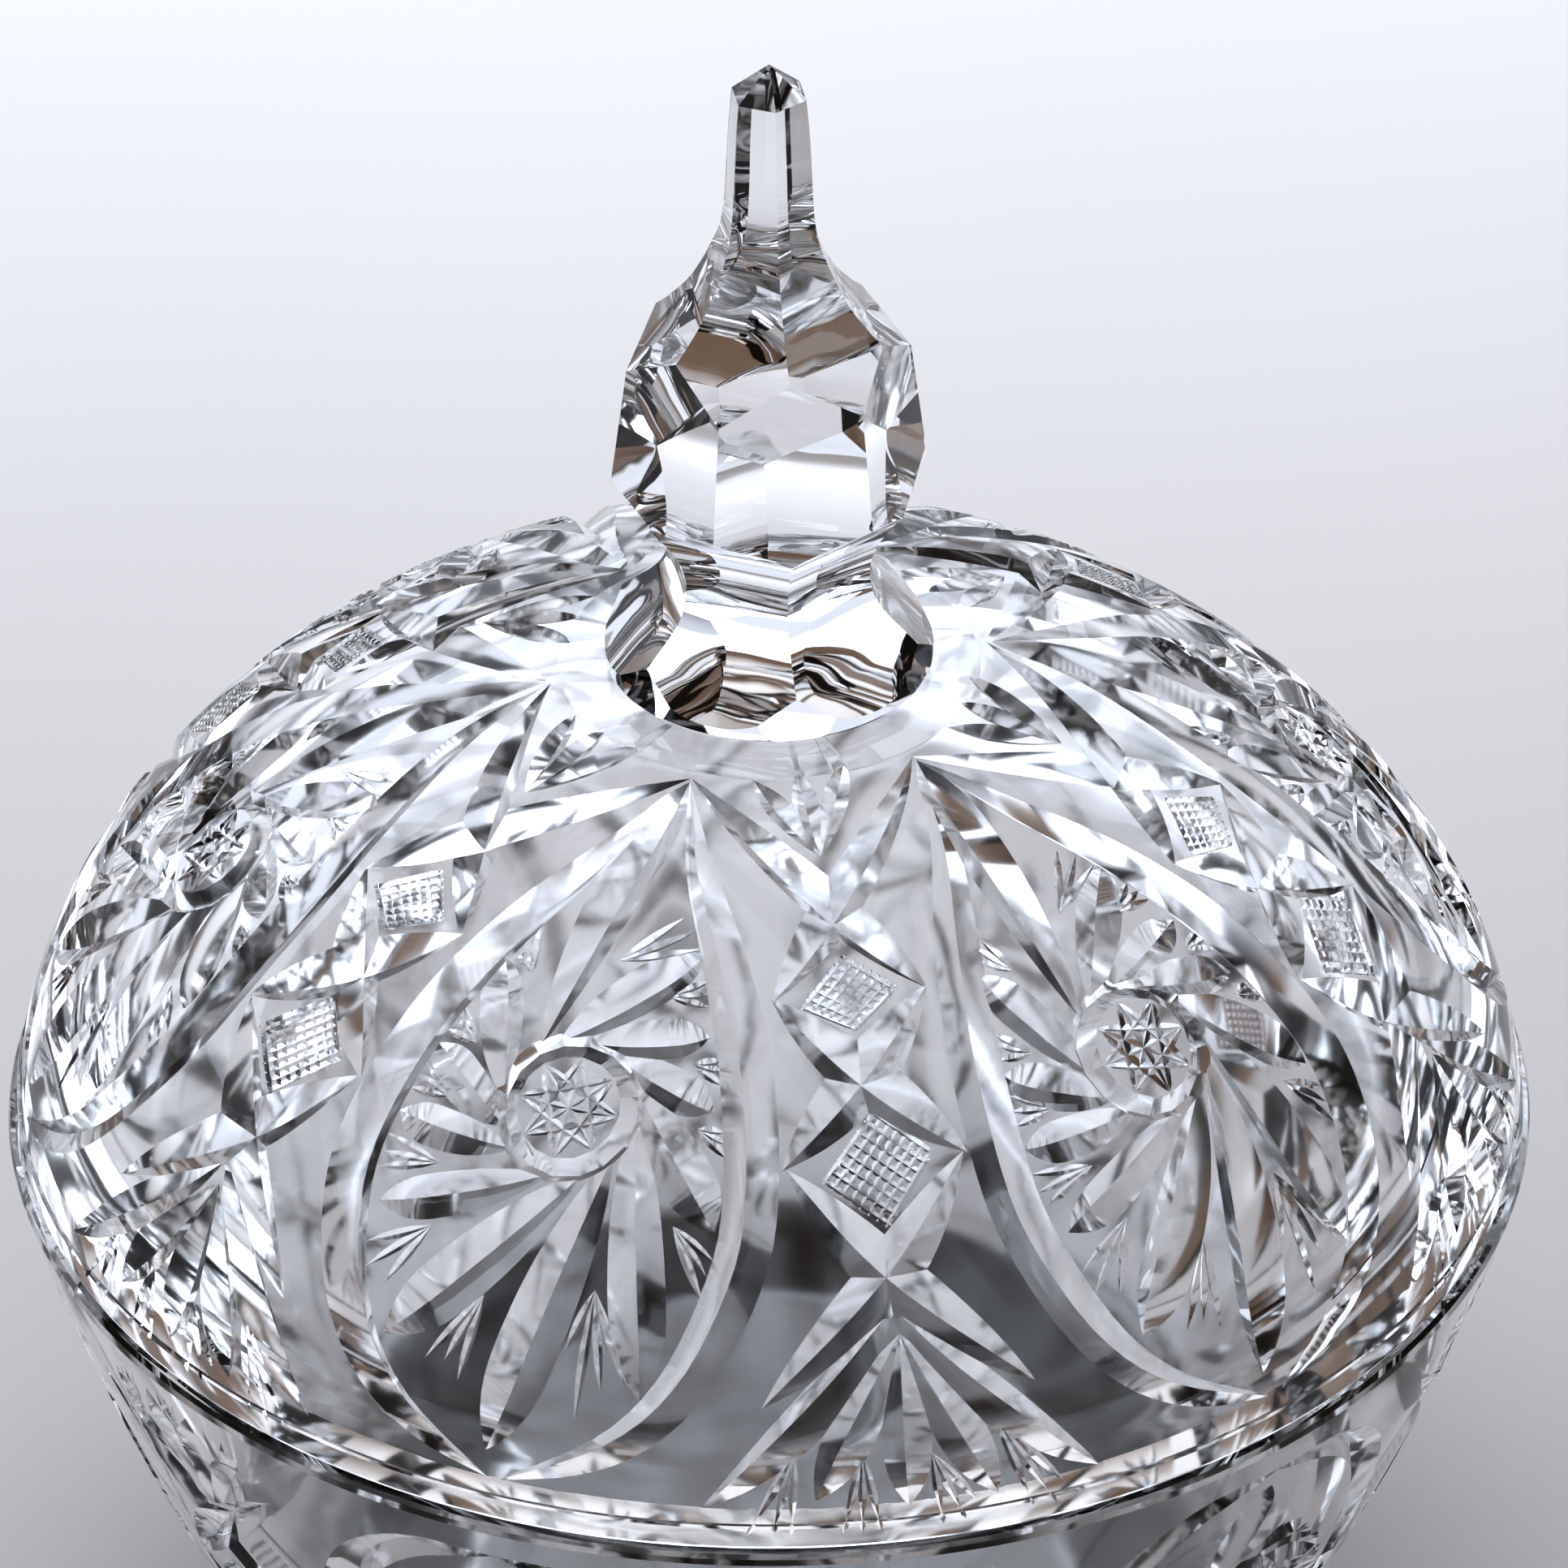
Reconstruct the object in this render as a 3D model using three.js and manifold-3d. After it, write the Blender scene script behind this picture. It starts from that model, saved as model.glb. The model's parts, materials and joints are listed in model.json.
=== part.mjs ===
// Covered jar of thick clear cut crystal: a round bowl, a domed lid that lies on its rim, and a tall
// six-sided knob bonded to the top of the lid. Millimetres, +Z up, origin at the centre of the underside.
// Azimuths are counted from the front (-Y) towards +X.
import * as THREE from 'three';
import { mergeVertices } from 'three/addons/utils/BufferGeometryUtils.js';
import Module from 'manifold-3d';

const wasm = await Module();
wasm.setup();

// Driving dimensions
const RIM_RADIUS = 75;            // lid, at its widest
const GAP = 0.3;                  // between pieces that lie on each other
const ROUND_SEGMENTS = 72;        // around every turned surface
const SIDES = 6;                  // of the knob, and repeats of the cut pattern

const BOWL_HEIGHT = 64;
const BOWL_RIM_RADIUS = 76.2;
const BOWL_MOUTH_RADIUS = 67.5;
const BOWL_WALL = 8.6;
const BOWL_FLOOR = 9.5;
const BOWL_TAPER = 0.251;         // how fast the side narrows below the rim
const BOWL_BELLY = 0.161;         // how fast that taper grows towards the base
const BASE_CHAMFER = 2.5;
const BASE_RING_INNER_RADIUS = 33;
const BASE_RECESS = 1.6;

const LID_Z = BOWL_HEIGHT + GAP;  // level of the lid's lower face
const LID_BAND = 2.8;             // upright edge round the lid
const LID_BAND_STEP = 0.6;        // ledge between that edge and the dome
const DOME_HEIGHT = 51.4;
const DOME_FLATNESS = 2.12;       // powers of the dome's superellipse
const DOME_FULLNESS = 1.71;
const SEAT_HEIGHT = 49.5;         // flat top of the dome, where the knob stands
const FLANGE_OUTER_RADIUS = 66.3;
const FLANGE_INNER_RADIUS = 62.4;
const FLANGE_DEPTH = 4;
const HOLLOW_HEIGHT = 43.2;       // inside of the lid

const BOND_RADIUS = 14.6;
const BOND_THICKNESS = 0.4;

const KNOB_Z = LID_Z + SEAT_HEIGHT + 2 * GAP + BOND_THICKNESS;
const KNOB_FOOT_RADIUS = 15.95;
const KNOB_HEIGHT = 65;
const GIRDLE_UPPER_APOTHEM = 11.9;
const GIRDLE_LOWER_APOTHEM = 13.2;
const GIRDLE_LOWER = 21.5;        // heights above the foot between which the wide facets lie
const GIRDLE_UPPER = 32.8;

// Distance from the axis to a knob face, and its height above the foot: a hollow waist, then the spire.
const WAIST = [[15.9, 1.2], [13, 4.5], [9.8, 7.9], [8.9, 11.3], [9.6, 14.6], [11.8, 18.3], [15.4, 21.4]];
const SHOULDER = [15.4, 31.6];
const SPIRE = [[9, 37.8], [6.9, 40.6], [5.1, 44.6], [4, 48.7], [3.55, 57.4], [3.2, 61.9]];

const CRYSTAL = { color: 0xeef2f8, roughness: 0.02, metalness: 0, transparent: true, opacity: 0.35 };

// Turns a profile of [radius, height] points about the vertical axis.
function turned(profile, segments = ROUND_SEGMENTS) {
  const geometry = new THREE.LatheGeometry(profile.map(([r, z]) => new THREE.Vector2(r, z)), segments);
  return geometry.rotateX(Math.PI / 2);
}

function toSolid(geometry) {
  const bare = geometry.clone();
  bare.deleteAttribute('normal');
  bare.deleteAttribute('uv');
  const merged = mergeVertices(bare, 1e-4);
  const vertProperties = new Float32Array(merged.attributes.position.array);
  const triVerts = new Uint32Array(merged.index.array);
  return new wasm.Manifold(new wasm.Mesh({ numProp: 3, vertProperties, triVerts }));
}

function toGeometry(solid) {
  const mesh = solid.getMesh();
  const geometry = new THREE.BufferGeometry();
  geometry.setAttribute('position', new THREE.BufferAttribute(mesh.vertProperties, 3));
  geometry.setIndex(new THREE.BufferAttribute(mesh.triVerts, 1));
  geometry.computeVertexNormals();
  return geometry;
}

// Evenly spaced values from start to end, both included.
function steps(start, end, count) {
  return Array.from({ length: count + 1 }, (_, i) => start + (end - start) * i / count);
}

// Bowl: a solid of revolution, open at the top, standing on a flat ring round a shallow recess.
function bowlRadius(z) {
  const drop = (z - BOWL_HEIGHT) / RIM_RADIUS;
  return BOWL_RIM_RADIUS + RIM_RADIUS * (BOWL_TAPER * drop - BOWL_BELLY * drop * drop);
}

function bowlGeometry() {
  const corner = 16;              // radius of the fillet between floor and wall
  const baseRadius = bowlRadius(BASE_CHAMFER);
  const outside = steps(BASE_CHAMFER, BOWL_HEIGHT - 0.8, 12).map((z) => [bowlRadius(z), z]);
  const wallFoot = BOWL_FLOOR + corner;
  const wallFootRadius = bowlRadius(wallFoot) - BOWL_WALL;
  const inside = steps(BOWL_HEIGHT - 8, wallFoot, 6).map((z) => [bowlRadius(z) - BOWL_WALL, z]);
  const fillet = steps(0, Math.PI / 2, 6).slice(1).map((angle) => [
    wallFootRadius - corner * (1 - Math.cos(angle)),
    wallFoot - corner * Math.sin(angle),
  ]);
  return turned([
    [0, BASE_RECESS],
    [BASE_RING_INNER_RADIUS - BASE_RECESS, BASE_RECESS],
    [BASE_RING_INNER_RADIUS, 0],
    [baseRadius - BASE_CHAMFER, 0],
    ...outside,
    [BOWL_RIM_RADIUS - 0.8, BOWL_HEIGHT],
    [BOWL_MOUTH_RADIUS, BOWL_HEIGHT],
    ...inside,
    ...fillet,
    [0, BOWL_FLOOR],
  ]);
}

// Lid: a dome with an upright edge, a flat seat on top and a ring below that drops into the bowl.
function domeHeight(radius, rimRadius, height) {
  return height * (1 - (radius / rimRadius) ** DOME_FLATNESS) ** (1 / DOME_FULLNESS);
}

function seatRadius() {
  const fall = (SEAT_HEIGHT / DOME_HEIGHT) ** DOME_FULLNESS;
  return RIM_RADIUS * (1 - fall) ** (1 / DOME_FLATNESS);
}

// Radii that crowd towards the rim, where the dome is steep.
function domeRadii(from, to, count) {
  return steps(0, 1, count).map((t) => from + (to - from) * Math.sin(t * Math.PI / 2));
}

function lidGeometry() {
  const shoulder = RIM_RADIUS - LID_BAND_STEP;
  const dome = domeRadii(seatRadius(), shoulder, 14).reverse()
    .map((r) => [r, Math.max(domeHeight(r, RIM_RADIUS, DOME_HEIGHT), LID_BAND + 0.3)]);
  const hollow = domeRadii(4, FLANGE_INNER_RADIUS - 0.8, 12)
    .map((r) => [r, domeHeight(r, FLANGE_INNER_RADIUS, HOLLOW_HEIGHT)]);
  const profile = [
    [0, HOLLOW_HEIGHT],
    ...hollow,
    [FLANGE_INNER_RADIUS, 0],
    [FLANGE_INNER_RADIUS, -FLANGE_DEPTH],
    [FLANGE_OUTER_RADIUS, -FLANGE_DEPTH],
    [FLANGE_OUTER_RADIUS, 0],
    [RIM_RADIUS, 0],
    [RIM_RADIUS, LID_BAND],
    ...dome,
    [0, SEAT_HEIGHT],
  ];
  return turned(profile).translate(0, 0, LID_Z);
}

// Knob: six upright faces cut to one profile, six wide facets across their corners, and a round foot.
// Each ring is a regular polygon given by its apothem and height.
function lofted(rings, firstCorner) {
  const positions = [];
  for (const [apothem, z] of rings) {
    const radius = apothem / Math.cos(Math.PI / SIDES);
    for (let k = 0; k < SIDES; k++) {
      const azimuth = firstCorner + 2 * Math.PI * k / SIDES;
      positions.push(radius * Math.sin(azimuth), -radius * Math.cos(azimuth), z);
    }
  }
  const bottom = positions.length / 3;
  const top = bottom + 1;
  positions.push(0, 0, rings[0][1]);
  positions.push(0, 0, KNOB_HEIGHT);
  const index = [];
  const last = (rings.length - 1) * SIDES;
  for (let k = 0; k < SIDES; k++) {
    const next = (k + 1) % SIDES;
    index.push(bottom, next, k);
    index.push(top, last + k, last + next);
    for (let row = 0; row < last; row += SIDES) {
      index.push(row + k, row + next, row + SIDES + next);
      index.push(row + k, row + SIDES + next, row + SIDES + k);
    }
  }
  const geometry = new THREE.BufferGeometry();
  geometry.setAttribute('position', new THREE.Float32BufferAttribute(positions, 3));
  geometry.setIndex(index);
  return geometry;
}

function smoothed(points, count) {
  const curve = new THREE.SplineCurve(points.map(([a, z]) => new THREE.Vector2(a, z)));
  return curve.getPoints(count).map((p) => [p.x, p.y]);
}

function knobGeometry() {
  const faces = [[KNOB_FOOT_RADIUS + 1, 0], ...smoothed(WAIST, 18), SHOULDER, ...smoothed(SPIRE, 15)];
  const lean = (GIRDLE_LOWER_APOTHEM - GIRDLE_UPPER_APOTHEM) / (GIRDLE_UPPER - GIRDLE_LOWER);
  const girdle = [0, KNOB_HEIGHT - 2].map((z) => [GIRDLE_LOWER_APOTHEM + lean * (GIRDLE_LOWER - z), z]);
  const foot = turned([
    [0, 0],
    [KNOB_FOOT_RADIUS, 0],
    [KNOB_FOOT_RADIUS, KNOB_HEIGHT],
    [0, KNOB_HEIGHT],
  ], 2 * ROUND_SEGMENTS / 3);
  const solid = toSolid(lofted(faces, 0))
    .intersect(toSolid(lofted(girdle, Math.PI / SIDES)))
    .intersect(toSolid(foot));
  return toGeometry(solid).translate(0, 0, KNOB_Z);
}

// Bond: the thin clear film that holds the knob on its seat.
function bondGeometry() {
  const profile = [[0, 0], [BOND_RADIUS, 0], [BOND_RADIUS, BOND_THICKNESS], [0, BOND_THICKNESS]];
  return turned(profile).translate(0, 0, LID_Z + SEAT_HEIGHT + GAP);
}

function piece(name, geometry, finish) {
  const mesh = new THREE.Mesh(geometry, new THREE.MeshStandardMaterial(finish));
  mesh.name = name;
  return mesh;
}

const lid = new THREE.Group();
lid.add(piece('lid_shell', lidGeometry(), CRYSTAL));
lid.add(piece('knob', knobGeometry(), CRYSTAL));
lid.add(piece('knob_bond', bondGeometry(), { ...CRYSTAL, color: 0xf6f3ea, roughness: 0.2 }));

const jar = new THREE.Group();
jar.add(piece('bowl', bowlGeometry(), CRYSTAL));
jar.add(lid);

export default jar;
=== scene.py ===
"""Covered jar of thick cut crystal: bowl, domed lid, six-sided knob, and the clear bond under the knob.

Each glass piece starts as a turned blank, and its pattern is cut into the blank one groove at a time, as a
cutter's wheel does it. Shapes are worked out in millimetres, and become metres when a mesh is made.
"""
import json
import math
from bisect import bisect

import bpy
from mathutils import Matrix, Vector

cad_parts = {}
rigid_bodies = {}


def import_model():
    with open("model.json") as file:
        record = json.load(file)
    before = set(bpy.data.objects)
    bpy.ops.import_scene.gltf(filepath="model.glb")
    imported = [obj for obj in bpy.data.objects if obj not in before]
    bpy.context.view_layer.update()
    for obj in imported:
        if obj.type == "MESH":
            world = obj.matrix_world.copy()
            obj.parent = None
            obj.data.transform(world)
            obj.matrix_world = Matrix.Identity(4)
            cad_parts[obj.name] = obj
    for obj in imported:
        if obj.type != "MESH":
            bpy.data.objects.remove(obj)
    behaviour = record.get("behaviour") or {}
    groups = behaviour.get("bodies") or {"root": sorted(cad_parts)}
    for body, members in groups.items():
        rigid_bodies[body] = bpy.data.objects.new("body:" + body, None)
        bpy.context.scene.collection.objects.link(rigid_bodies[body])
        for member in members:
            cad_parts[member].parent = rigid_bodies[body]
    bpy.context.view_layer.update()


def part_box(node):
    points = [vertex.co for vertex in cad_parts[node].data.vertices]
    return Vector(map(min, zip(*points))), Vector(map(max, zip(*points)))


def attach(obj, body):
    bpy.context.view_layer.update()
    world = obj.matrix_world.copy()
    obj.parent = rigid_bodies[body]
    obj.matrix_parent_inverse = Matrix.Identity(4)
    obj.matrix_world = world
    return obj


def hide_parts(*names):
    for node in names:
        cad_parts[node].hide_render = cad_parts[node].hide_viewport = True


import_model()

MM = 0.001
SIDES = 6                              # repeats of the pattern, and faces of the knob
SECTOR = 2 * math.pi / SIDES
QUARTER = math.pi / 2
UP = Vector((0, 0, 1))
# How many sides stand for a full turn: of the large blanks, of the knob's foot and of the bond.
LARGE_ROUND = 288
FOOT_ROUND = 192
BOND_ROUND = 120
# Bends between two faces, in degrees, from which the edge stays sharp.
CUT_CREASE = 16
KNOB_CREASE = 12
BOND_CREASE = 40


def box_mm(node):
    low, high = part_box(node)
    return low / MM, high / MM


_, bowl_high = box_mm("bowl")
lid_low, lid_high = box_mm("lid_shell")
knob_low, knob_high = box_mm("knob")
bond_low, bond_high = box_mm("knob_bond")

# Bowl
BOWL_HEIGHT = bowl_high.z
BOWL_RIM_RADIUS = 76.2
BOWL_MOUTH_RADIUS = 67.5
BOWL_MOUTH_DEPTH = 8                   # straight part of the mouth, in which the lid's ring sits
BOWL_WALL = 8.6
BOWL_FLOOR = 9.5
BOWL_FILLET = 16
BOWL_SCALE = 75                        # length that the side's taper and belly are given for
BOWL_TAPER = 0.251
BOWL_BELLY = 0.161
BASE_EDGE = 2.5
BASE_RING = 33
BASE_RECESS = 1.6
# Edges of the bowl's lip: in from the wall, and down from the top.
LIP_OUTSIDE = [(0, 0.8), (0.2, 0.25), (0.7, 0)]
LIP_INSIDE = [(0.7, 0), (0.2, 0.2), (0, 0.8)]

# Lid
FLANGE_DEPTH = 4                       # of the ring that drops into the bowl's mouth
FLANGE_OUTER = 66.3
FLANGE_INNER = 62.4
FLANGE_BEVEL = 0.4
LID_Z = lid_low.z + FLANGE_DEPTH
LID_RADIUS = 75
# Upright edge of the lid: in from the lid's radius, and up from its underside.
LID_EDGE = [(0.4, 0), (0.1, 0.12), (0, 0.4), (0, 2.45), (0.12, 2.72), (0.35, 2.8)]
DOME_HEIGHT = 51.4
DOME_FLATNESS = 2.12                   # powers of the dome's superellipse
DOME_FULLNESS = 1.71
DOME_FOOT_RADIUS = 74.25               # where the dome ends, just above the upright edge
SEAT_BREAK = 0.3
HOLLOW_HEIGHT = 43.2

# Knob: the radius inside its flat faces, and the height above its foot
KNOB_FOOT_RADIUS = 15.9
KNOB_FOOT_BREAK = 0.35
KNOB_HEIGHT = knob_high.z - knob_low.z
WAIST = [(15.9, 1.2), (13, 4.5), (9.8, 7.9), (8.9, 11.3), (9.6, 14.6), (11.8, 18.3), (15.4, 21.4)]
SPIRE = [(9, 37.8), (6.9, 40.6), (5.1, 44.6), (4, 48.7), (3.55, 57.4), (3.2, 61.9)]
SHOULDER = (15.4, 31.6)
GIRDLE_LOWER = (13.2, 21.5)
GIRDLE_UPPER = (11.9, 32.8)
MENISCUS = 0.25                        # depth of the hollow round the bond's edge


# ---------------------------------------------------------------- meshes

def mesh_object(name, points, faces):
    """Makes an object from points in millimetres."""
    mesh = bpy.data.meshes.new(name)
    mesh.from_pydata([Vector(p) * MM for p in points], [], faces)
    made = bpy.data.objects.new(name, mesh)
    bpy.context.scene.collection.objects.link(made)
    return made


def lathe(name, profile, segments):
    """Turns an outline of (radius, height), from the axis on the underside outwards, up and back in."""
    points = []
    rows = []
    for radius, height in profile:
        if radius < 1e-6:
            rows.append([len(points)] * segments)
            points.append((0, 0, height))
            continue
        rows.append(list(range(len(points), len(points) + segments)))
        for k in range(segments):
            turn = 2 * math.pi * k / segments
            points.append((radius * math.sin(turn), -radius * math.cos(turn), height))
    faces = []
    for low, high in zip(rows, rows[1:]):
        for k in range(segments):
            n = (k + 1) % segments
            corners = [low[k], low[n], high[n], high[k]]
            faces.append([c for i, c in enumerate(corners) if c != corners[i - 1]])
    return mesh_object(name, points, [f for f in faces if len(f) > 2])


def combine(body, others, operation):
    """Cuts the other objects out of the body, or keeps what they share, and throws the others away."""
    tools = bpy.data.collections.new("tools")
    bpy.context.scene.collection.children.link(tools)
    for other in others:
        for home in other.users_collection:
            home.objects.unlink(other)
        tools.objects.link(other)
    modifier = body.modifiers.new("cut", "BOOLEAN")
    modifier.operation = operation
    modifier.operand_type = "COLLECTION"
    modifier.collection = tools
    modifier.solver = "MANIFOLD"
    evaluated = body.evaluated_get(bpy.context.evaluated_depsgraph_get())
    result = bpy.data.meshes.new_from_object(evaluated)
    body.modifiers.clear()
    body.data = result
    for other in list(tools.objects):
        mesh = other.data
        bpy.data.objects.remove(other)
        bpy.data.meshes.remove(mesh)
    bpy.data.collections.remove(tools)
    return body


def finish_piece(piece, crease, materials, body, node):
    """Shades the piece smooth where it bends less than the crease, in degrees, and gives it its place."""
    piece.data.shade_smooth()
    piece.data.set_sharp_from_angle(angle=math.radians(crease))
    piece.data.materials.clear()
    for material in materials:
        piece.data.materials.append(material)
    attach(piece, body)
    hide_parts(node)


def soften_inside(piece, is_inside):
    """Gives the second material to the faces of the hollow."""
    for face in piece.data.polygons:
        centre = face.center / MM
        face.material_index = int(is_inside(math.hypot(centre.x, centre.y), centre.z))


# ---------------------------------------------------------------- surfaces and cuts

def running_lengths(points):
    lengths = [0]
    for a, b in zip(points, points[1:]):
        lengths.append(lengths[-1] + (b - a).length)
    return lengths


class Turned:
    """A turned surface with a chart on it, in millimetres: s runs along its profile, and x round it."""

    least_radius = 0.5                 # nearer the axis than this, x turns no faster

    def __init__(self, profile, count=300):
        self.points = [Vector(profile(i / count)) for i in range(count + 1)]
        self.lengths = running_lengths(self.points)

    def across(self, s):
        """Radius and height at s, and the outward normal there."""
        i = min(max(bisect(self.lengths, s), 1), len(self.points) - 1)
        a, b = self.points[i - 1], self.points[i]
        run = (b - a).normalized()
        return a + run * (s - self.lengths[i - 1]), Vector((-run.y, run.x))

    def place(self, azimuth, x, s):
        """Point and outward normal at (x, s) of the chart centred on that azimuth."""
        ring, normal = self.across(s)
        turn = azimuth + x / max(ring.x, self.least_radius)
        out = Vector((math.sin(turn), -math.cos(turn), 0))
        return out * ring.x + UP * ring.y, out * normal.x + UP * normal.y


def smooth_path(points):
    """A curve through the points, as a function of 0..1 by length, going on straight past both ends."""
    points = [Vector(p) for p in points]
    if len(points) == 2:
        return lambda u: points[0] + (points[1] - points[0]) * u
    padded = [points[0] * 2 - points[1]] + points + [points[-1] * 2 - points[-2]]
    fine = []
    steps = 12
    for a, b, c, d in zip(padded, padded[1:], padded[2:], padded[3:]):
        for i in range(steps):
            t = i / steps
            bend = (2 * a - 5 * b + 4 * c - d) * t * t + (3 * b - a - 3 * c + d) * t ** 3
            fine.append(b + ((c - a) * t + bend) / 2)
    fine.append(points[-1])
    lengths = running_lengths(fine)

    def at(u):
        s = u * lengths[-1]
        i = min(max(bisect(lengths, s), 1), len(fine) - 1)
        part = (s - lengths[i - 1]) / (lengths[i] - lengths[i - 1])
        return fine[i - 1] + (fine[i] - fine[i - 1]) * part
    return at


def side_faces(first, second):
    """The three faces between two three-cornered sections, each given by its first corner's number."""
    return [(first + j, first + (j + 1) % 3, second + (j + 1) % 3, second + j) for j in range(3)]


def between(a, b, t):
    return a[0] + (b[0] - a[0]) * t, a[1] + (b[1] - a[1]) * t


def around(centre, radius, part):
    """Point of a circle on the chart, a part of a turn round from +x towards -s."""
    turn = 2 * math.pi * part
    return centre[0] + radius * math.cos(turn), centre[1] - radius * math.sin(turn)


class Cutter:
    """Collects the grooves that are cut into one turned surface."""

    clear = 0.5                        # how far the wedges stand out of the surface
    look_ahead = 0.01                  # part of its path over which a groove reads its direction

    def __init__(self, surface):
        self.surface = surface
        self.wedges = []

    def groove(self, azimuth, points, depth, walls, peak=0.5, fullness=2, steps=14):
        """A V groove. walls are its widths to the two sides of the valley where it is deepest, the side
        towards +x first when the path runs towards +s. peak is where it is deepest, from 0 to 1."""
        path = smooth_path(points)
        reach = (1 + self.clear / depth) ** (1 / fullness)
        corners = []
        for i in range(steps + 1):
            v = reach * (2 * i / steps - 1)
            u = peak + v * (peak if v < 0 else 1 - peak)
            below = depth * (1 - abs(v) ** fullness)
            here, normal = self.surface.place(azimuth, *path(u))
            if i in (0, steps):
                corners.append(here + normal * self.clear)
                continue
            ahead, _ = self.surface.place(azimuth, *path(u + self.look_ahead))
            side = normal.cross((ahead - here).normalized())
            top = here + normal * self.clear
            wide = (below + self.clear) / depth
            corners.append(here - normal * below)
            corners.append(top + side * walls[0] * wide)
            corners.append(top - side * walls[1] * wide)
        last = len(corners) - 1
        faces = [(0, (j + 1) % 3 + 1, j + 1) for j in range(3)]
        faces += [(last, last - 3 + j, last - 3 + (j + 1) % 3) for j in range(3)]
        for first in range(1, last - 3, 3):
            faces += side_faces(first, first + 3)
        self.wedges.append(mesh_object("wedge", corners, faces))

    def pair(self, azimuth, points, depth, walls, **shape):
        """A groove and its mirror image."""
        self.groove(azimuth, points, depth, walls, **shape)
        self.groove(azimuth, [(-x, s) for x, s in points], depth, walls[::-1], **shape)

    def ring(self, azimuth, centre, radius, depth, walls, steps):
        """A closed V groove round a point: walls are its widths inside and outside the valley."""
        wide = (depth + self.clear) / depth
        section = [
            (radius, depth),
            (radius - walls[0] * wide, -self.clear),
            (radius + walls[1] * wide, -self.clear),
        ]
        corners = []
        faces = []
        for i in range(steps):
            for reach, below in section:
                here, normal = self.surface.place(azimuth, *around(centre, reach, i / steps))
                corners.append(here - normal * below)
            faces += side_faces(3 * i, 3 * ((i + 1) % steps))
        self.wedges.append(mesh_object("ring", corners, faces))

    def hairline(self, azimuth, a, b, width, depth, fullness=2, steps=6):
        self.groove(azimuth, [a, b], depth, (width / 2, width / 2), fullness=fullness, steps=steps)

    def cut(self, body):
        return combine(body, self.wedges, "DIFFERENCE")


def hatch(cutter, azimuth, top, right, bottom, left, count):
    """Crossed fine lines that leave a field of small flat squares."""
    line = {"width": 0.6, "depth": 0.38, "fullness": 10, "steps": 16}
    for i in range(count):
        t = (i + 0.5) / count
        cutter.hairline(azimuth, between(top, left, t), between(right, bottom, t), **line)
        cutter.hairline(azimuth, between(top, right, t), between(left, bottom, t), **line)


def rays(cutter, azimuth, root, tips):
    """Fine cuts that fan out from one point."""
    for tip in tips:
        cutter.hairline(azimuth, root, tip, width=0.95, depth=0.42)


def petals(cutter, azimuth, root, tips, width, depth, peak=0.6):
    """Broad cuts that fan out from one point."""
    for tip in tips:
        cutter.groove(azimuth, [root, tip], depth, (width / 2, width / 2), peak)


# ---------------------------------------------------------------- pinwheel

PINWHEEL_CENTRE = (0.2, 58.7)          # where it is on the lid's chart
BLADE_START = 6.4
BLADE_DEPTH = 0.32                     # for each millimetre of width
RING_RADIUS = 6.5
STAR_RADIUS = 5
# The twelve blades: tip, where each leaves the ring in degrees from +x towards the knob, and width.
BLADES = [
    ((0, 22), 134, 5.2), ((8.3, 41.5), 116, 4.8), ((11.3, 50), 95, 4.2), ((13.8, 57.3), 72, 4.2),
    ((16.7, 68.6), 35, 5.2), ((13, 84.8), 10, 5.6), ((-1, 92), -30, 6.2), ((-12.8, 83.8), -56, 6),
    ((-16.1, 72.3), -88, 4.4), ((-16.3, 63.8), -129, 4.2), ((-14.4, 56.5), -149, 4.6),
    ((-10.6, 46.3), -173, 4.4),
]
# Fine rays between the blades: the point they fan from, and their tips.
BLADE_RAYS = [
    ((0.5, 43.5), [(5, 37.8), (6.6, 39.1), (7.6, 41)]),
    ((6.1, 46.2), [(9.5, 44.3), (10, 45.7), (10.3, 47)]),
    ((10.5, 52.8), [(13.2, 52.2), (13.5, 53.3), (13.8, 54.7)]),
    ((12.7, 59), [(15.2, 59.2), (15.6, 60.3), (16.2, 61.7)]),
    ((12.8, 68.3), [(17.3, 71.3), (17, 72.8), (17, 75)]),
    ((7, 75), [(5.3, 81), (7.2, 87.5), (9.3, 84.5), (11.8, 84)]),
    ((-3.4, 77.5), [(-8.2, 84.8), (-6.2, 84.5), (-4.6, 86)]),
    ((-10, 72.7), [(-16.5, 76.3), (-16, 78.5), (-13.7, 79.3)]),
    ((-10.8, 67), [(-17, 66.2), (-17.2, 68), (-17, 69.4)]),
    ((-11.5, 60.8), [(-16, 61.5), (-15.7, 60), (-15, 58.5)]),
    ((-10.5, 55.2), [(-13, 52.3), (-13.5, 53.3), (-14, 55)]),
    ((-7.3, 47), [(-8.2, 42), (-9.3, 43.5), (-9.8, 45)]),
]


def star(cutter, azimuth, centre):
    """An eight-point star, of eight long chords and four diameters."""
    points = [around(centre, STAR_RADIUS, k / 8) for k in range(8)]
    for k in range(8):
        cutter.hairline(azimuth, points[k], points[(k + 3) % 8], width=0.85, depth=0.42, fullness=4)
    for k in range(4):
        cutter.hairline(azimuth, points[k], points[k + 4], width=0.7, depth=0.35)


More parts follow.
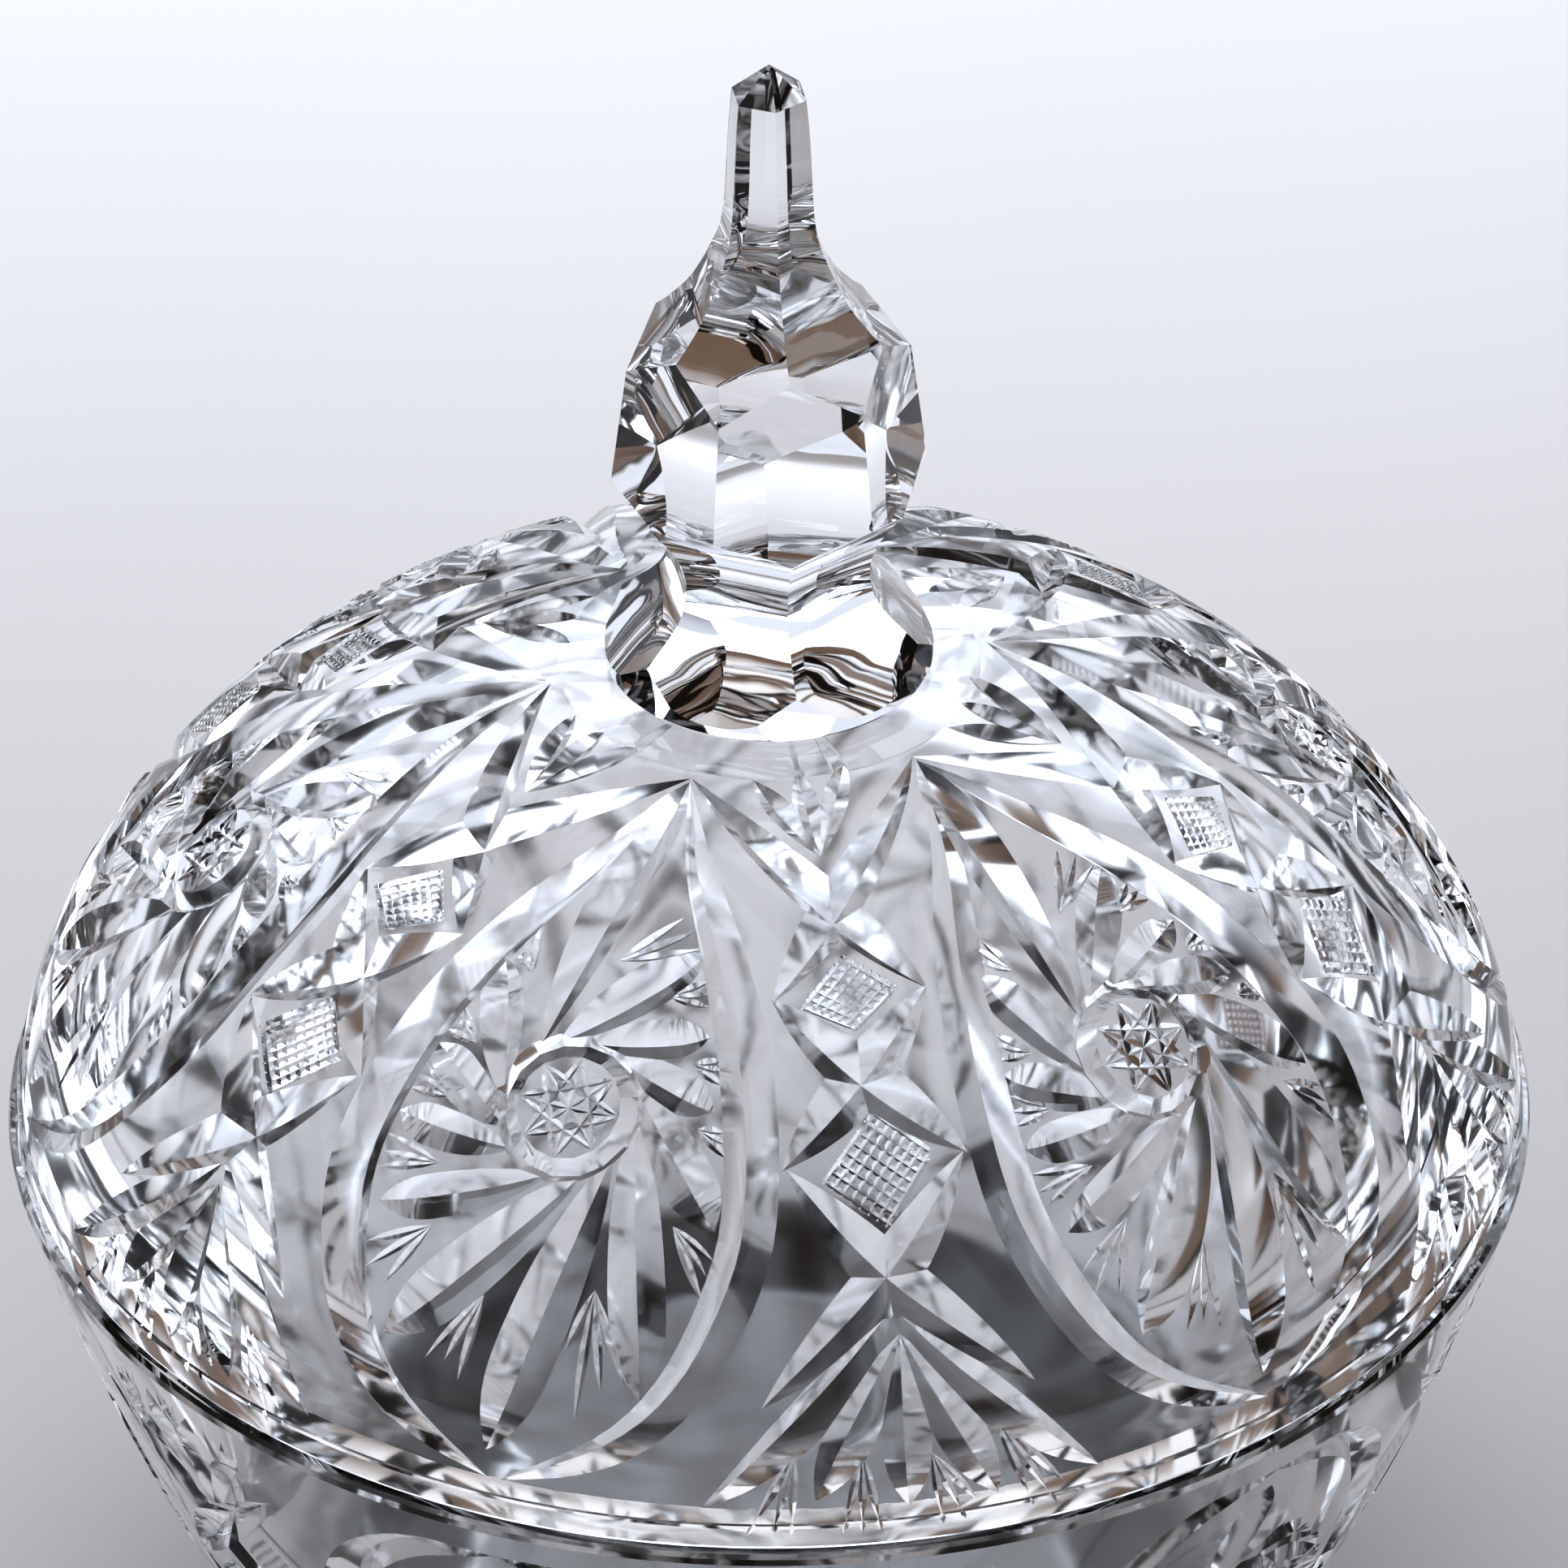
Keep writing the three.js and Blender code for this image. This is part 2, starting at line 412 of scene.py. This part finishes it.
def pinwheel(cutter, azimuth, centre=PINWHEEL_CENTRE, squeeze=lambda x, s: (x, s)):
    """A star on a raised button, ringed by a bevel from which the blades sweep out. squeeze moves a point
    of the lid's pinwheel to where it goes on another surface."""
    for tip, start, width in BLADES:
        foot = around(centre, BLADE_START, start / 360)
        walls = (width * 0.55, width * 0.45)
        cutter.groove(azimuth, [foot, squeeze(*tip)], width * BLADE_DEPTH, walls, peak=0.68, fullness=2.4)
    for root, tips in BLADE_RAYS:
        rays(cutter, azimuth, squeeze(*root), [squeeze(*tip) for tip in tips])
    cutter.ring(azimuth, centre, RING_RADIUS, depth=1.15, walls=(1.5, 0.8), steps=16)
    star(cutter, azimuth, centre)


# ---------------------------------------------------------------- lid

def dome(t, radius=LID_RADIUS, height=DOME_HEIGHT):
    """Point of the dome's profile, from the top at t = 0 to the rim at t = 1."""
    angle = t * QUARTER
    across = math.sin(angle) ** (2 / DOME_FLATNESS)
    up = math.cos(angle) ** (2 / DOME_FULLNESS) if t < 1 else 0
    return radius * across, LID_Z + height * up


def lid_blank():
    hollow = [dome(i / 60, FLANGE_INNER, HOLLOW_HEIGHT) for i in range(60)]
    flange = [
        (FLANGE_INNER, LID_Z), (FLANGE_INNER, lid_low.z + FLANGE_BEVEL),
        (FLANGE_INNER + FLANGE_BEVEL, lid_low.z), (FLANGE_OUTER - FLANGE_BEVEL, lid_low.z),
        (FLANGE_OUTER, lid_low.z + FLANGE_BEVEL), (FLANGE_OUTER, LID_Z),
    ]
    edge = [(LID_RADIUS - inset, LID_Z + up) for inset, up in LID_EDGE]
    outside = [dome(i / 110) for i in range(110, 0, -1)]
    outside = [(r, z) for r, z in outside if r < DOME_FOOT_RADIUS and z < lid_high.z]
    seat = [(outside[-1][0] - SEAT_BREAK, lid_high.z), (0, lid_high.z)]
    return lathe("lid_shell_glass", hollow + flange + edge + outside + seat, LARGE_ROUND)


def cut_lid(blank):
    """Six pointed ovals with a pinwheel in each, and six columns of crossed grooves between them."""
    cutter = Cutter(Turned(dome))
    arch = [
        (0, 22), (4.2, 32), (9.7, 42), (15.4, 54), (18.9, 66), (19, 74), (16.2, 83), (10.5, 89.5), (0, 95),
    ]
    fork = [(0, 76), (5, 81.5), (10, 86.5), (15, 91.2), (19.3, 95)]
    for k in range(SIDES):
        column = k * SECTOR
        middle = column + SECTOR / 2
        cutter.pair(middle, arch, 1.9, (3.2, 2.1), peak=0.55, fullness=2.6, steps=40)
        pinwheel(cutter, middle)
        # Crossings down the column, the diamonds that they leave, and the fans above and below.
        cutter.pair(column, [(-11.15, 21.5), (0, 37), (7.4, 46.4)], 2.3, (2.5, 2.0), peak=0.6, steps=18)
        cutter.pair(column, [(-7.4, 46), (0, 54.3), (8.8, 62.8)], 2.2, (2.9, 2.6), steps=18)
        cutter.pair(column, [(-8.4, 62.6), (0, 73.2), (13, 84.9)], 2.2, (2.9, 2.6), peak=0.45, steps=18)
        cutter.pair(column, fork, 1.7, (1.7, 2.7), peak=0.45, steps=18)
        hatch(cutter, column, (0, 41.3), (4.9, 45.8), (0, 49.8), (-5.2, 47), 7)
        hatch(cutter, column, (0.5, 57), (6, 62), (0.5, 69), (-5.6, 64), 8)
        petals(cutter, column, (-0.3, 30.5), [(-5, 20.8), (-0.7, 19.8), (4, 19.3)], 2.6, 0.9)
        petals(cutter, column, (0.4, 78.5), [(-8.5, 94), (0.3, 95.4), (9, 95.4)], 4.8, 1.6, 0.62)
        rays(cutter, column, (-10.2, 89), [(-14.7, 97), (-12.5, 97), (-10.8, 97)])
        rays(cutter, column, (-3.9, 89.5), [(-5.9, 97), (-4.2, 97), (-2.5, 97)])
        rays(cutter, column, (2.6, 90), [(3.4, 97), (5.4, 96.7), (7.2, 96)])
        rays(cutter, column, (8.8, 87.5), [(12, 96.5), (14.2, 96.8), (16, 96.2)])
    return cutter.cut(blank)


def in_lid_hollow(r, z):
    """Whether a point is in the hollow or on its surface."""
    skin = 0.3
    up = max(z - LID_Z, 0) / (HOLLOW_HEIGHT + skin)
    return (r / (FLANGE_INNER + skin)) ** DOME_FLATNESS + up ** DOME_FULLNESS < 1


# ---------------------------------------------------------------- bowl

def bowl_radius(z):
    drop = (z - BOWL_HEIGHT) / BOWL_SCALE
    return BOWL_RIM_RADIUS + BOWL_SCALE * (BOWL_TAPER * drop - BOWL_BELLY * drop * drop)


def bowl_side(t):
    """Point of the side's profile, from the rim at t = 0 to the foot at t = 1."""
    z = BOWL_HEIGHT + (BASE_EDGE - BOWL_HEIGHT) * t
    return bowl_radius(z), z


def bowl_blank():
    foot = bowl_radius(BASE_EDGE) - BASE_EDGE
    turns = [QUARTER * i / 6 for i in range(6)]
    base = [(0, BASE_RECESS), (BASE_RING - BASE_RECESS, BASE_RECESS), (BASE_RING, 0)]
    base += [(foot + BASE_EDGE * math.sin(a), BASE_EDGE * (1 - math.cos(a))) for a in turns]
    side = [bowl_side(1 - i / 70) for i in range(69)]
    lip_radius = bowl_radius(BOWL_HEIGHT - LIP_OUTSIDE[0][1])
    lip = [(lip_radius - inset, BOWL_HEIGHT - drop) for inset, drop in LIP_OUTSIDE]
    lip += [(BOWL_MOUTH_RADIUS + inset, BOWL_HEIGHT - drop) for inset, drop in LIP_INSIDE]
    mouth_foot = BOWL_HEIGHT - BOWL_MOUTH_DEPTH
    wall_foot = BOWL_FLOOR + BOWL_FILLET
    heights = [mouth_foot + (wall_foot - mouth_foot) * i / 24 for i in range(25)]
    inside = [(bowl_radius(z) - BOWL_WALL, z) for z in heights]
    corner = inside[-1][0] - BOWL_FILLET
    turns = [QUARTER * i / 16 for i in range(1, 17)]
    fillet = [(corner + BOWL_FILLET * math.cos(a), wall_foot - BOWL_FILLET * math.sin(a)) for a in turns]
    profile = base + side + lip + inside + fillet + [(0, BOWL_FLOOR)]
    return lathe("bowl_glass", profile, LARGE_ROUND)


def cut_bowl(blank):
    """The lid's pattern again, on a shorter side: arches, pinwheels and crossed grooves."""
    cutter = Cutter(Turned(bowl_side))
    arch = [(0, 4.2), (9, 6.6), (15.6, 13), (18.6, 22), (18.8, 31), (16.6, 41), (11, 51), (0, 61)]
    centre = (0.2, 27)
    upper_petals = [(-9.5, 5.2), (-3.2, 3.6), (3.2, 3.6), (9.5, 5.2)]

    def squeeze(x, s):
        """Fits the pinwheel's blades inside the bowl's arch, which is shorter than the lid's."""
        drop = s - PINWHEEL_CENTRE[1]
        return x * 0.97, centre[1] + drop * (0.56 if drop < 0 else 0.86)

    for k in range(SIDES):
        column = k * SECTOR
        middle = column + SECTOR / 2
        cutter.pair(middle, arch, 1.9, (2.9, 2.1), fullness=3.5, steps=40)
        pinwheel(cutter, middle, centre, squeeze)
        # Crossings down the column, the diamond that they leave, and the fans above and below.
        cutter.pair(column, [(-14, 9), (0, 22.5), (9, 33.6)], 2.2, (2.8, 2.4), peak=0.6, steps=16)
        cutter.pair(column, [(-9, 32.6), (0, 42.5), (14.5, 57.5)], 2.2, (2.8, 2.6), peak=0.45, steps=16)
        hatch(cutter, column, (0, 27.4), (5.2, 33.1), (0, 38.2), (-5.2, 33.1), 7)
        petals(cutter, column, (0, 21.5), upper_petals, 4.4, 1.3, 0.66)
        rays(cutter, column, (-6.6, 11), [(-8.3, 3.6), (-7, 3.4), (-5.6, 3.2)])
        rays(cutter, column, (0, 10.5), [(-1.3, 2.9), (0, 2.8), (1.3, 2.9)])
        rays(cutter, column, (6.6, 11), [(8.3, 3.6), (7, 3.4), (5.6, 3.2)])
        petals(cutter, column, (0, 46), [(-7.4, 58.5), (0, 60), (7.4, 58.5)], 4.6, 1.5, 0.62)
    return cutter.cut(blank)


def in_bowl_hollow(r, z):
    """Whether a point is in the hollow or on its surface."""
    skin = 0.3
    return z > BOWL_FLOOR - skin and r < bowl_radius(z) - BOWL_WALL + skin


# ---------------------------------------------------------------- knob and bond

def loft(name, rings, first_corner):
    """A six-sided solid through level hexagons of (apothem, height), up to a point at the knob's tip."""
    points = []
    for apothem, z in rings:
        radius = apothem / math.cos(math.pi / SIDES)
        for k in range(SIDES):
            turn = first_corner + k * SECTOR
            points.append((radius * math.sin(turn), -radius * math.cos(turn), knob_low.z + z))
    faces = [list(range(SIDES))[::-1]]
    for row in range(len(rings) - 1):
        for k in range(SIDES):
            a, b = row * SIDES + k, row * SIDES + (k + 1) % SIDES
            faces.append([a, b, b + SIDES, a + SIDES])
    top = len(points)
    points.append((0, 0, knob_high.z))
    for k in range(SIDES):
        faces.append([top - SIDES + k, top - SIDES + (k + 1) % SIDES, top])
    return mesh_object(name, points, faces)


def curve_through(points, count):
    path = smooth_path(points)
    return [tuple(path(i / count)) for i in range(count + 1)]


def make_knob():
    """Six long faces, trimmed by six wide girdle facets between them and by the round foot."""
    spare = 1
    below_tip = 0.5
    rings = [(KNOB_FOOT_RADIUS + spare, 0)] + curve_through(WAIST, 40) + [SHOULDER]
    knob = loft("knob_glass", rings + curve_through(SPIRE, 32), 0)
    lean = (GIRDLE_LOWER[0] - GIRDLE_UPPER[0]) / (GIRDLE_UPPER[1] - GIRDLE_LOWER[1])
    heights = (-spare, KNOB_HEIGHT - below_tip)
    facets = [(GIRDLE_LOWER[0] + lean * (GIRDLE_LOWER[1] - z), z) for z in heights]
    girdle = loft("girdle", facets, SECTOR / 2)
    outline = [
        (0, 0), (KNOB_FOOT_RADIUS - KNOB_FOOT_BREAK, 0),
        (KNOB_FOOT_RADIUS - KNOB_FOOT_BREAK / 3, KNOB_FOOT_BREAK / 3),
        (KNOB_FOOT_RADIUS, KNOB_FOOT_BREAK),
        (KNOB_FOOT_RADIUS, KNOB_HEIGHT + spare), (0, KNOB_HEIGHT + spare),
    ]
    foot = lathe("foot", [(r, knob_low.z + z) for r, z in outline], FOOT_ROUND)
    return combine(knob, [girdle, foot], "INTERSECT")


def make_bond():
    """A clear film that fills the joint between seat and foot, with a hollow meniscus round its edge."""
    radius = (bond_high.x - bond_low.x) / 2
    low, high = bond_low.z, bond_high.z
    middle = (low + high) / 2
    edge = []
    for i in range(9):
        angle = math.pi * i / 8 - QUARTER
        edge.append((radius - MENISCUS * math.cos(angle), middle + (high - low) / 2 * math.sin(angle)))
    return lathe("knob_bond_film", [(0, low)] + edge + [(0, high)], BOND_ROUND)


# ---------------------------------------------------------------- materials

CLEAR = (0.985, 0.99, 1.0)
CURED_CLEAR = (0.99, 0.985, 0.96)
HAND_POLISH = 0.00005                  # height of the waves in the glass, in metres


def add_node(tree, kind, inputs, **settings):
    """A new node. An input that is another node's output is linked, and any other is set."""
    node = tree.nodes.new(kind)
    for name, value in settings.items():
        setattr(node, name, value)
    for name, value in inputs.items():
        if isinstance(value, bpy.types.NodeSocket):
            tree.links.new(value, node.inputs[name])
        else:
            node.inputs[name].default_value = value
    return node


def add_ramp(tree, value, stops):
    """Colours by value, from stops of (position, colour)."""
    node = add_node(tree, "ShaderNodeValToRGB", {"Fac": value})
    elements = node.color_ramp.elements
    while len(elements) < len(stops):
        elements.new(0.5)
    for element, (position, colour) in zip(elements, stops):
        element.position = position
        element.color = (*colour, 1)
    return node.outputs["Color"]


def new_material(name):
    """A material, its shader, and the output that says where a point is on the object."""
    material = bpy.data.materials.new(name)
    material.use_nodes = True
    place = add_node(material.node_tree, "ShaderNodeTexCoord", {}).outputs["Object"]
    return material, material.node_tree.nodes["Principled BSDF"], place


def crystal(name, tint, roughness, waviness):
    """Clear lead glass, with faint drifts of tint and polish and the slight waviness of hand finishing."""
    material, shader, place = new_material(name)
    tree = material.node_tree
    shader.inputs["Transmission Weight"].default_value = 1
    shader.inputs["IOR"].default_value = 1.545
    drift = add_node(tree, "ShaderNodeTexNoise", {"Vector": place, "Scale": 28, "Detail": 3}).outputs["Fac"]
    deeper = [c * 0.985 for c in tint]
    colour = add_ramp(tree, drift, [(0.3, deeper), (0.7, tint)])
    tree.links.new(colour, shader.inputs["Base Color"])
    polish = add_node(tree, "ShaderNodeMapRange", {
        "Value": drift, "From Min": 0.45, "From Max": 0.75, "To Min": roughness, "To Max": roughness + 0.02,
    })
    tree.links.new(polish.outputs["Result"], shader.inputs["Roughness"])
    ripple = add_node(tree, "ShaderNodeTexNoise", {"Vector": place, "Scale": 130, "Detail": 1})
    bump = add_node(tree, "ShaderNodeBump", {
        "Height": ripple.outputs["Fac"], "Strength": 1, "Distance": waviness,
    })
    tree.links.new(bump.outputs["Normal"], shader.inputs["Normal"])
    return material


def floor_material():
    """Matt and pale, with a faint drift of shade."""
    material, shader, place = new_material("pale_cloth")
    tree = material.node_tree
    shader.inputs["Roughness"].default_value = 0.9
    shader.inputs["Specular IOR Level"].default_value = 0.1
    drift = add_node(tree, "ShaderNodeTexNoise", {"Vector": place, "Scale": 2.5}).outputs["Fac"]
    colour = add_ramp(tree, drift, [(0.35, (0.68, 0.66, 0.65)), (0.65, (0.72, 0.70, 0.69))])
    tree.links.new(colour, shader.inputs["Base Color"])
    return material


# ---------------------------------------------------------------- stage

# The room's light by height, from straight down (0) through level (0.5) to straight up (1).
ROOM = [
    (0.0, (0.20, 0.12, 0.08)), (0.54, (0.16, 0.10, 0.07)), (0.58, (0.015, 0.013, 0.013)),
    (0.70, (0.02, 0.018, 0.02)), (0.74, (0.14, 0.085, 0.06)), (0.90, (0.24, 0.17, 0.13)),
    (0.94, (1.1, 1.1, 1.13)), (1.0, (1.1, 1.1, 1.13)),
]
PANEL_LIGHT = (1.0, 1.05, 1.15)
BACKDROP_LIGHT = (0.92, 0.97, 1.08)


def make_floor():
    half = 6000
    corners = [(-half, -half, 0), (half, -half, 0), (half, half, 0), (-half, half, 0)]
    floor = mesh_object("floor", corners, [(0, 1, 2, 3)])
    floor.data.materials.append(floor_material())


def make_world():
    """A dim warm room with a soft ceiling light, three tall pale panels and a pale backdrop."""
    world = bpy.data.worlds.new("studio")
    bpy.context.scene.world = world
    world.use_nodes = True
    tree = world.node_tree

    def math_node(operation, *inputs):
        return add_node(tree, "ShaderNodeMath", dict(enumerate(inputs)), operation=operation).outputs[0]

    def rise(value, low, high, top=1.0):
        """0 at low and top at high, and level beyond them."""
        inputs = {"Value": value, "From Min": low, "From Max": high, "To Max": top}
        return add_node(tree, "ShaderNodeMapRange", inputs).outputs["Result"]

    def paint(under, colour, mask):
        inputs = {"Factor": mask, "A": under, "B": (*colour, 1)}
        return add_node(tree, "ShaderNodeMix", inputs, data_type="RGBA").outputs["Result"]

    place = add_node(tree, "ShaderNodeTexCoord", {}).outputs["Generated"]
    x, y, z = add_node(tree, "ShaderNodeSeparateXYZ", {"Vector": place}).outputs
    sky = add_ramp(tree, rise(z, -1, 1), ROOM)
    swing = math_node("SINE", math_node("MULTIPLY_ADD", math_node("ARCTAN2", x, y), 3, 0.6))
    band = math_node("MULTIPLY", rise(z, 0.12, 0.18), rise(z, 0.64, 0.58))
    sky = paint(sky, PANEL_LIGHT, math_node("MULTIPLY", rise(swing, 0.3, 0.4, top=0.9), band))
    sky = paint(sky, BACKDROP_LIGHT, math_node("MULTIPLY", rise(y, 0.3, 0.5), rise(z, 0.62, 0.45)))
    tree.links.new(sky, tree.nodes["Background"].inputs["Color"])


def set_tones():
    """Plain tones, with the darker ones a little deeper."""
    view = bpy.context.scene.view_settings
    view.view_transform = "Standard"
    view.gamma = 0.82


def make_back_light():
    """A long soft box above the floor behind the jar, which leaves the front in softer, warmer light."""
    lamp = bpy.data.objects.new("back_softbox", bpy.data.lights.new("back_softbox", "AREA"))
    lamp.data.shape = "RECTANGLE"
    lamp.data.size = 2.4
    lamp.data.size_y = 0.65
    lamp.data.energy = 12.2
    lamp.data.color = (0.80, 0.89, 1.0)
    lamp.location = (0, 0.675, 0.5)
    lamp.visible_camera = False
    bpy.context.scene.collection.objects.link(lamp)


def make_camera():
    """Looks down on the lid from a long way off, a little to the left of a column of diamonds."""
    azimuth = math.radians(-9.845)
    elevation = math.radians(34.235)
    distance = 833.6
    aim = Vector((0, 0, LID_Z + 35))
    level = math.cos(elevation)
    away = Vector((math.sin(azimuth) * level, -math.cos(azimuth) * level, math.sin(elevation)))
    camera = bpy.data.objects.new("camera", bpy.data.cameras.new("camera"))
    camera.data.lens = 195.7
    camera.data.sensor_width = 36
    camera.data.shift_x = 0.0095
    camera.data.clip_start = 0.01
    camera.location = (aim + away * distance) * MM
    camera.rotation_euler = (-away).to_track_quat("-Z", "Y").to_euler()
    bpy.context.scene.collection.objects.link(camera)
    bpy.context.scene.camera = camera


# ---------------------------------------------------------------- build

make_camera()
make_world()
set_tones()
make_back_light()
make_floor()

polished = crystal("cut_crystal", CLEAR, roughness=0.02, waviness=HAND_POLISH)
moulded = crystal("crystal_inside", CLEAR, roughness=0.10, waviness=HAND_POLISH)
film = crystal("clear_bond", CURED_CLEAR, roughness=0.05, waviness=0.00001)

lid_shell = cut_lid(lid_blank())
finish_piece(lid_shell, CUT_CREASE, [polished, moulded], "lid", "lid_shell")
soften_inside(lid_shell, in_lid_hollow)

bowl = cut_bowl(bowl_blank())
finish_piece(bowl, CUT_CREASE, [polished, moulded], "bowl", "bowl")
soften_inside(bowl, in_bowl_hollow)

knob = make_knob()
finish_piece(knob, KNOB_CREASE, [polished], "lid", "knob")

bond = make_bond()
finish_piece(bond, BOND_CREASE, [film], "lift", "knob_bond")
